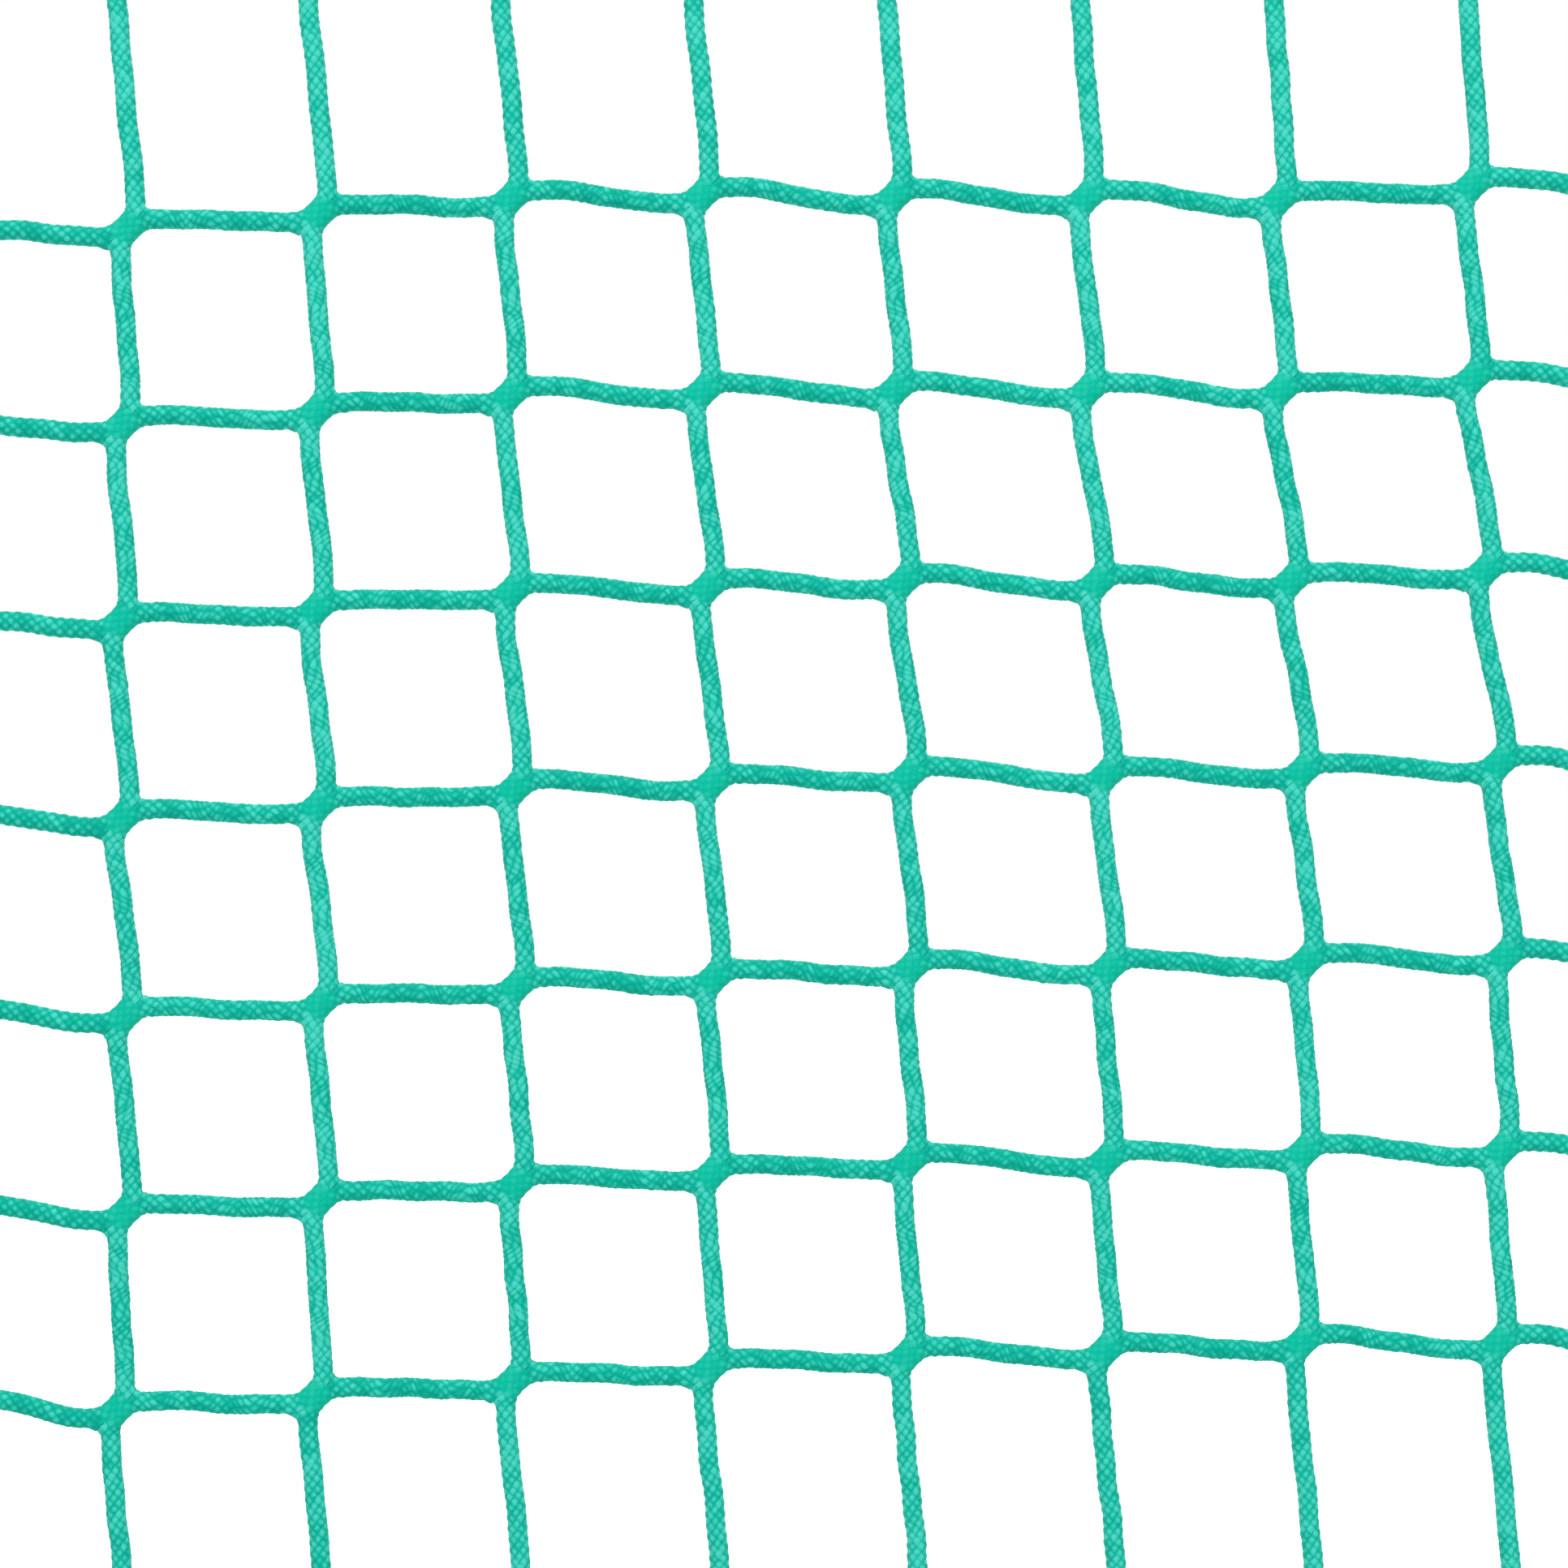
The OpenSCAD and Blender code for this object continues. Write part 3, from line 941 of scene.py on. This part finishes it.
def thimble(name, side, end, material):
    """The lathe-turned corner eye as a closed ring."""
    profile = thimble_profile()
    a = 2 * np.pi * np.arange(THIMBLE_AROUND) / THIMBLE_AROUND
    centre = corner(side, end, EYE_REACH, 0)
    rings = np.stack(
        [
            centre[0] + profile[None, :, 0] * np.cos(a)[:, None],
            np.broadcast_to(profile[None, :, 1], (THIMBLE_AROUND, len(profile))),
            centre[2] + profile[None, :, 0] * np.sin(a)[:, None],
        ],
        -1,
    )
    m, n = THIMBLE_AROUND, len(profile)
    index = np.arange(m * n).reshape(m, n)
    below, right = np.roll(index, -1, 0), np.roll(index, -1, 1)
    quads = np.stack([index, right, np.roll(right, -1, 0), below], -1).reshape(-1, 4)
    mesh = bpy.data.meshes.new(name)
    mesh.from_pydata((rings.reshape(-1, 3) * MM).tolist(), [], quads.tolist())
    j, i = np.meshgrid(np.arange(n), np.arange(m))
    corners = ((i, j), (i, j + 1), (i + 1, j + 1), (i + 1, j))
    for layer, size in (("braid", 1.0), ("OFBake", 1 - 2 * BAKE_SIDE)):
        uv = np.stack([pair(u / m, v / n) * size + BAKE_SIDE for u, v in corners], 2)
        mesh.uv_layers.new(name=layer, do_init=False).uv.foreach_set(
            "vector", uv.astype(np.float32).ravel()
        )
    mesh.update(calc_edges=True)
    mesh.validate()
    mesh.shade_smooth()
    mesh.materials.append(material)
    obj = bpy.data.objects.new(name, mesh)
    bpy.context.scene.collection.objects.link(obj)
    return obj


# ---------------------------------------------------------------- Materials


class Nodes:
    """A short way to write a node tree."""

    def __init__(self, name):
        self.material = bpy.data.materials.new(name)
        self.material.use_nodes = True
        self.tree = self.material.node_tree
        self.shader = self.tree.nodes["Principled BSDF"]

    def add(self, kind, inputs=None, **settings):
        node = self.tree.nodes.new("ShaderNode" + kind)
        for key, value in settings.items():
            setattr(node, key, value)
        for key, value in (inputs or {}).items():
            self.put(node.inputs[key], value)
        return node

    def put(self, socket, value):
        if isinstance(value, bpy.types.NodeSocket):
            self.tree.links.new(value, socket)
        else:
            socket.default_value = value

    def math(self, operation, a, b=0.0, c=0.0):
        return self.add("Math", {0: a, 1: b, 2: c}, operation=operation).outputs[0]

    def value(self, name):
        return self.add("Attribute", attribute_name=name).outputs["Fac"]

    def mix(self, share, a, b):
        node = self.add("Mix", data_type="RGBA")
        self.put(node.inputs["Factor"], share)
        self.put(node.inputs["A"], a)
        self.put(node.inputs["B"], b)
        return node.outputs["Result"]

    def noise(self, vector, scale, detail, roughness=0.5):
        return self.add(
            "TexNoise",
            {"Vector": vector, "Scale": scale, "Detail": detail, "Roughness": roughness},
        ).outputs["Fac"]

    def spread(self, value, low, high):
        """value from 0..1 taken to low..high."""
        return self.math("MULTIPLY_ADD", value, high - low, low)

    def bump(self, height, distance, strength):
        node = self.add("Bump", {"Height": height, "Distance": distance, "Strength": strength})
        self.put(self.shader.inputs["Normal"], node.outputs["Normal"])

    def fix(self, **values):
        """Sets the shader's own sockets."""
        for key, value in values.items():
            self.shader.inputs[key.replace("_", " ")].default_value = value

    def surface(self, colour, roughness):
        self.put(self.shader.inputs["Base Color"], colour)
        self.put(self.shader.inputs["Roughness"], roughness)

    def vary(self, value, pattern, amount):
        """value with a pattern of 0..1 added, by minus to plus half the amount."""
        return self.math("MULTIPLY_ADD", self.spread(pattern, -0.5, 0.5), amount, value)

    def scaled(self, a, by_a, b, by_b):
        """A vector of two maps, each stretched by its own number."""
        inputs = {0: self.math("MULTIPLY", a, by_a), 1: self.math("MULTIPLY", b, by_b)}
        return self.add("CombineXYZ", inputs)

    def braid_map(self):
        """The map's place across and along the piece."""
        uv = self.add("UVMap", uv_map="braid").outputs["UV"]
        split = self.add("SeparateXYZ", {0: uv})
        return split.outputs[0], split.outputs[1]


def fibre_material(name, dark, mid, bright, deep_tone):
    """Braided synthetic cord: strands, filaments along them, painted shade in the crevices, painted
    highlights on the strands' crowns, and sheen.
    """
    n = Nodes(name)
    across, along = n.braid_map()
    a, b = n.math("ADD", across, along), n.math("SUBTRACT", across, along)
    fa, fb = n.math("FLOOR", a), n.math("FLOOR", b)
    total = n.math("ADD", fa, fb)
    odd = n.math("FLOORED_MODULO", total, 2.0)
    x = n.math("SUBTRACT", a, fa)
    y = n.math("SUBTRACT", b, fb)
    swap = n.add("Mix", {"Factor": odd, 2: x, 3: y}, data_type="FLOAT").outputs[0]
    other = n.add("Mix", {"Factor": odd, 2: y, 3: x}, data_type="FLOAT").outputs[0]
    wrapped = n.math("FLOORED_MODULO", total, 2.0 * STRANDS)
    run = n.math("SUBTRACT", fa, fb)
    stitch = n.add("CombineXYZ", {0: wrapped, 1: run, 2: odd}).outputs[0]
    chance = n.add("TexWhiteNoise", {"Vector": stitch}, noise_dimensions="3D").outputs["Value"]
    fibre = n.scaled(swap, 9.0, other, 1.6)
    n.put(fibre.inputs[2], n.math("MULTIPLY", chance, 40.0))
    filaments = n.noise(fibre.outputs[0], 1.0, 3.0, 0.55)
    place = n.add("TexCoord").outputs["Object"]
    mottle = n.noise(place, 900.0, 2.0)
    crown, merge, tone = n.value("crown"), n.value("merge"), n.value("tone")
    # The crown paints shade into the braid's crevices and a painted highlight onto each strand's
    # crown.
    lit = n.math("POWER", crown, 0.8)
    lit = n.vary(lit, chance, 0.42)
    lit = n.vary(lit, filaments, 0.75)
    lit = n.vary(lit, mottle, 0.35)
    lit = n.math("MULTIPLY_ADD", tone, 0.14, lit)
    # Painted light: upright legs lighter and level legs darker, as the lamps fall on them.
    lit = n.vary(lit, n.value("upright"), 0.26)
    ramp = n.add("ValToRGB", {"Fac": lit})
    stops = ramp.color_ramp.elements
    stops[0].position, stops[0].color = 0.05, (*dark, 1)
    stops[1].position, stops[1].color = 1.0, (*bright, 1)
    middle = stops.new(0.5)
    middle.color = (*mid, 1)
    joined = n.mix(n.math("MULTIPLY", merge, 0.78), ramp.outputs["Color"], (*deep_tone, 1))
    n.surface(joined, n.spread(filaments, 0.42, 0.66))
    n.bump(n.math("MULTIPLY_ADD", mottle, 0.3, filaments), 0.12 * MM, 0.8)
    n.fix(Specular_IOR_Level=0.03, IOR=1.49)
    n.fix(Sheen_Weight=0.06, Sheen_Roughness=0.45, Sheen_Tint=(0.12, 0.9, 0.72, 1))
    return n.material


def rope_material(name, dark, bright):
    """Three-strand rope: yarns round each strand, fibres along the yarns, and painted shade in the
    valleys between the strands and between the yarns.
    """
    n = Nodes(name)
    across, along = n.braid_map()
    slant = n.math("SUBTRACT", across, n.math("MULTIPLY", along, 3.0))
    filaments = n.noise(n.scaled(slant, 26.0, along, 9.0).outputs[0], 1.0, 3.0, 0.6)
    place = n.add("TexCoord").outputs["Object"]
    mottle = n.noise(place, 420.0, 3.0)
    crown, yarn, tone = n.value("crown"), n.value("yarn"), n.value("tone")
    # Painted shade: darker down in the valleys between the strands and between the yarns.
    lit = n.math("MULTIPLY", n.math("POWER", crown, 0.9), n.spread(yarn, 0.62, 1.0))
    lit = n.vary(lit, filaments, 0.6)
    lit = n.vary(lit, mottle, 0.3)
    lit = n.math("MULTIPLY_ADD", tone, 0.06, lit)
    n.surface(n.mix(lit, (*dark, 1), (*bright, 1)), n.spread(filaments, 0.45, 0.7))
    n.bump(n.math("MULTIPLY_ADD", yarn, 0.5, filaments), 0.18 * MM, 0.8)
    n.fix(Specular_IOR_Level=0.15, IOR=1.49)
    n.fix(Sheen_Weight=0.06, Sheen_Roughness=0.5, Sheen_Tint=(0.15, 0.9, 0.75, 1))
    return n.material


def twine_material(name, dark, bright):
    """Undyed two-ply twine: matt fibres along the plies, with painted shade between them."""
    n = Nodes(name)
    across, along = n.braid_map()
    slant = n.math("SUBTRACT", across, n.math("MULTIPLY", along, 2.0))
    filaments = n.noise(n.scaled(slant, 14.0, along, 3.0).outputs[0], 1.0, 3.0, 0.6)
    place = n.add("TexCoord").outputs["Object"]
    mottle = n.noise(place, 700.0, 3.0)
    # Painted shade: darker between the plies, lighter on their crowns.
    lit = n.vary(n.value("crown"), filaments, 0.8)
    lit = n.vary(lit, mottle, 0.6)
    lit = n.math("MULTIPLY_ADD", n.value("tone"), 0.08, lit)
    n.surface(n.mix(lit, (*dark, 1), (*bright, 1)), n.spread(filaments, 0.55, 0.8))
    n.bump(filaments, 0.08 * MM, 0.8)
    n.fix(Specular_IOR_Level=0.2, Sheen_Weight=0.1, Sheen_Roughness=0.5)
    return n.material


def steel_material(name, dark, bright):
    """Turned stainless steel: fine rings round the axis, smears and small scratches."""
    n = Nodes(name)
    across, along = n.braid_map()
    turning = n.noise(n.scaled(across, 5.0, along, 260.0).outputs[0], 1.0, 2.0, 0.6)
    place = n.add("TexCoord").outputs["Object"]
    smear = n.noise(place, 160.0, 3.0)
    rough = n.vary(n.spread(turning, 0.22, 0.42), smear, 0.22)
    n.surface(n.mix(smear, (*dark, 1), (*bright, 1)), rough)
    n.bump(turning, 0.03 * MM, 0.7)
    n.fix(Metallic=1.0)
    return n.material


def floor_material(name, dark, bright, glow):
    """Pale matt floor with faint clouds and a fine grain, light enough to read as white."""
    n = Nodes(name)
    place = n.add("TexCoord").outputs["Object"]
    cloud = n.noise(place, 3.0, 4.0)
    grain = n.noise(place, 260.0, 3.0)
    n.surface(n.mix(cloud, (*dark, 1), (*bright, 1)), n.spread(grain, 0.72, 0.85))
    n.bump(grain, 0.4 * MM, 0.15)
    n.fix(Specular_IOR_Level=0.2, Emission_Color=(1, 1, 1, 1), Emission_Strength=glow)
    return n.material


# dark is the painted shade of the braid's crevices and bright the painted highlight of its crowns.
net_cord = fibre_material(
    "net_cord",
    dark=(0.001, 0.255, 0.185),
    mid=(0.003, 0.325, 0.238),
    bright=(0.048, 0.455, 0.368),
    deep_tone=(0.0005, 0.345, 0.232),
)
# dark is the painted shade in the rope's valleys.
border_rope = rope_material("border_rope", dark=(0.001, 0.10, 0.07), bright=(0.02, 0.36, 0.27))
# dark is the painted shade between the twine's plies.
twine = twine_material("twine", dark=(0.24, 0.215, 0.16), bright=(0.62, 0.59, 0.50))
steel = steel_material("thimble", dark=(0.27, 0.28, 0.29), bright=(0.46, 0.47, 0.48))
pale = floor_material("floor", dark=(0.50, 0.50, 0.495), bright=(0.53, 0.53, 0.525), glow=0.52)

# ---------------------------------------------------------------- The net's pieces


def finish_piece(obj, slot, *nodes):
    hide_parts(*nodes)


def bend_at_fold(obj):
    """Bakes the piece's transform into its mesh."""
    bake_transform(obj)


for gap in range(1, ROWS + 2):
    for name, first in (("odd", 0), ("even", 1)):
        skin = Skin()
        for i in range(first, COLUMNS, 2):
            cord_unit(skin, i, gap)
        obj = skin.build(f"net_cords_{gap}_{name}", net_cord)
        bend_at_fold(obj)
        nodes = [f"row_{min(gap, ROWS)}_{name}_strands"]
        if gap == 1:
            nodes.append("top_cord_ends")
        if gap > ROWS:
            nodes.append("bottom_cord_ends")
        finish_piece(obj, "net_cord", *nodes)

for k in range(1, ROWS + 1):
    skin = Skin()
    cord_unit(skin, COLUMNS, k)
    obj = skin.build(f"net_cord_end_{k}", net_cord)
    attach(obj, body_of(k))
    finish_piece(obj, "net_cord", f"row_{k}_odd_strands")

    skin = Skin()
    for side in (-1, 1):
        eye = eye_of_side(k, side)
        whipping(skin, eye - side * WHIPPING_START * X, -side * X, 40 + 2 * k + side)
    obj = skin.build(f"side_whippings_{k}", twine)
    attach(obj, body_of(k))
    finish_piece(obj, "twine", f"row_{k}_whippings")

for gap in range(1, ROWS + 2):
    for side, name in ((-1, "left"), (1, "right")):
        skin = Skin()
        side_rope(skin, gap, side)
        obj = skin.build(f"{name}_rope_{gap}", border_rope)
        bend_at_fold(obj)
        finish_piece(obj, "border_rope", f"row_{min(gap, ROWS)}_{name}_rope")

for end, place in ((1, "top"), (-1, "bottom")):
    body = f"{place}_border"
    skin = Skin()
    rope_skin(skin, border_path(end), 2 * SIDE_SEAM / LAY if end > 0 else 0.0, 31 + end)
    obj = skin.build(f"{place}_rope", border_rope)
    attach(obj, body)
    finish_piece(obj, "border_rope", f"{place}_border_rope")

    skin = Skin()
    for i in range(COLUMNS):
        eye = eye_of_end(i, end)
        whipping(skin, eye - end * WHIPPING_START * Z, -end * Z, 60 + 10 * end + i)
    obj = skin.build(f"{place}_end_whippings", twine)
    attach(obj, body)
    finish_piece(obj, "twine", f"{place}_whippings")

    for side, name in ((-1, "left"), (1, "right")):
        skin = Skin()
        seizing(skin, side, end, 80 + 3 * end + side)
        obj = skin.build(f"{place}_{name}_winding", twine)
        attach(obj, body)
        finish_piece(obj, "twine", f"{place}_{name}_seizing")

        obj = thimble(f"{place}_{name}_eye", side, end, steel)
        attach(obj, body)
        finish_piece(obj, "thimble", f"{place}_{name}_thimble")

# ---------------------------------------------------------------- Floor and light

# In metres.
FLOOR_Z = -0.30
FLOOR_HALF = 6.0
FLOOR_WAVE = 0.0004


def make_floor():
    """A large pale floor, gently uneven."""
    count = 48
    mesh = bpy.data.meshes.new("floor")
    line = np.linspace(-FLOOR_HALF, FLOOR_HALF, count + 1)
    x, y = np.meshgrid(line, line)
    z = FLOOR_Z + FLOOR_WAVE * np.sin(3 * x) * np.cos(2 * y)
    verts = np.stack([x, y, z], -1).reshape(-1, 3)
    index = np.arange((count + 1) ** 2).reshape(count + 1, count + 1)
    quads = np.stack([index[:-1, :-1], index[:-1, 1:], index[1:, 1:], index[1:, :-1]], -1)
    mesh.from_pydata(verts.tolist(), [], quads.reshape(-1, 4).tolist())
    mesh.materials.append(pale)
    mesh.shade_smooth()
    obj = bpy.data.objects.new("floor", mesh)
    bpy.context.scene.collection.objects.link(obj)


def make_light(name, place, size, power):
    """A soft rectangular light turned towards the net's middle. place and size are in metres."""
    data = bpy.data.lights.new(name, "AREA")
    data.shape = "RECTANGLE"
    data.size, data.size_y = size
    data.energy = power
    obj = bpy.data.objects.new(name, data)
    bpy.context.scene.collection.objects.link(obj)
    obj.location = place
    to_net = -np.array(place) / np.linalg.norm(place)
    obj.rotation_euler = (
        math.acos(-to_net[2]),
        0,
        math.atan2(-to_net[0], to_net[1]),
    )


def make_world(seen, at_horizon, overhead):
    """A white surround for the camera; the net is lit by one that brightens overhead."""
    world = bpy.data.worlds.new("studio")
    world.use_nodes = True
    tree = world.node_tree
    back = tree.nodes["Background"]
    back.inputs["Color"].default_value = (1, 1, 1, 1)
    way = tree.nodes.new("ShaderNodeTexCoord")
    split = tree.nodes.new("ShaderNodeSeparateXYZ")
    given = tree.nodes.new("ShaderNodeMapRange")
    given.inputs["To Min"].default_value = at_horizon
    given.inputs["To Max"].default_value = overhead
    path = tree.nodes.new("ShaderNodeLightPath")
    level = tree.nodes.new("ShaderNodeMapRange")
    level.inputs["To Max"].default_value = seen
    tree.links.new(way.outputs["Generated"], split.inputs["Vector"])
    tree.links.new(split.outputs["Z"], given.inputs["Value"])
    tree.links.new(given.outputs["Result"], level.inputs["To Min"])
    tree.links.new(path.outputs["Is Camera Ray"], level.inputs["Value"])
    tree.links.new(level.outputs["Result"], back.inputs["Strength"])
    bpy.context.scene.world = world


make_floor()
make_world(seen=1.0, at_horizon=0.45, overhead=1.5)
make_light("key", (-0.35, -1.1, 1.5), (1.2, 0.9), 24)
make_light("fill", (0.9, -1.3, 0.5), (1.2, 1.2), 5)
make_light("rim", (0.3, 1.2, 1.2), (1.2, 0.8), 7)
bpy.context.scene.view_settings.view_transform = "Standard"
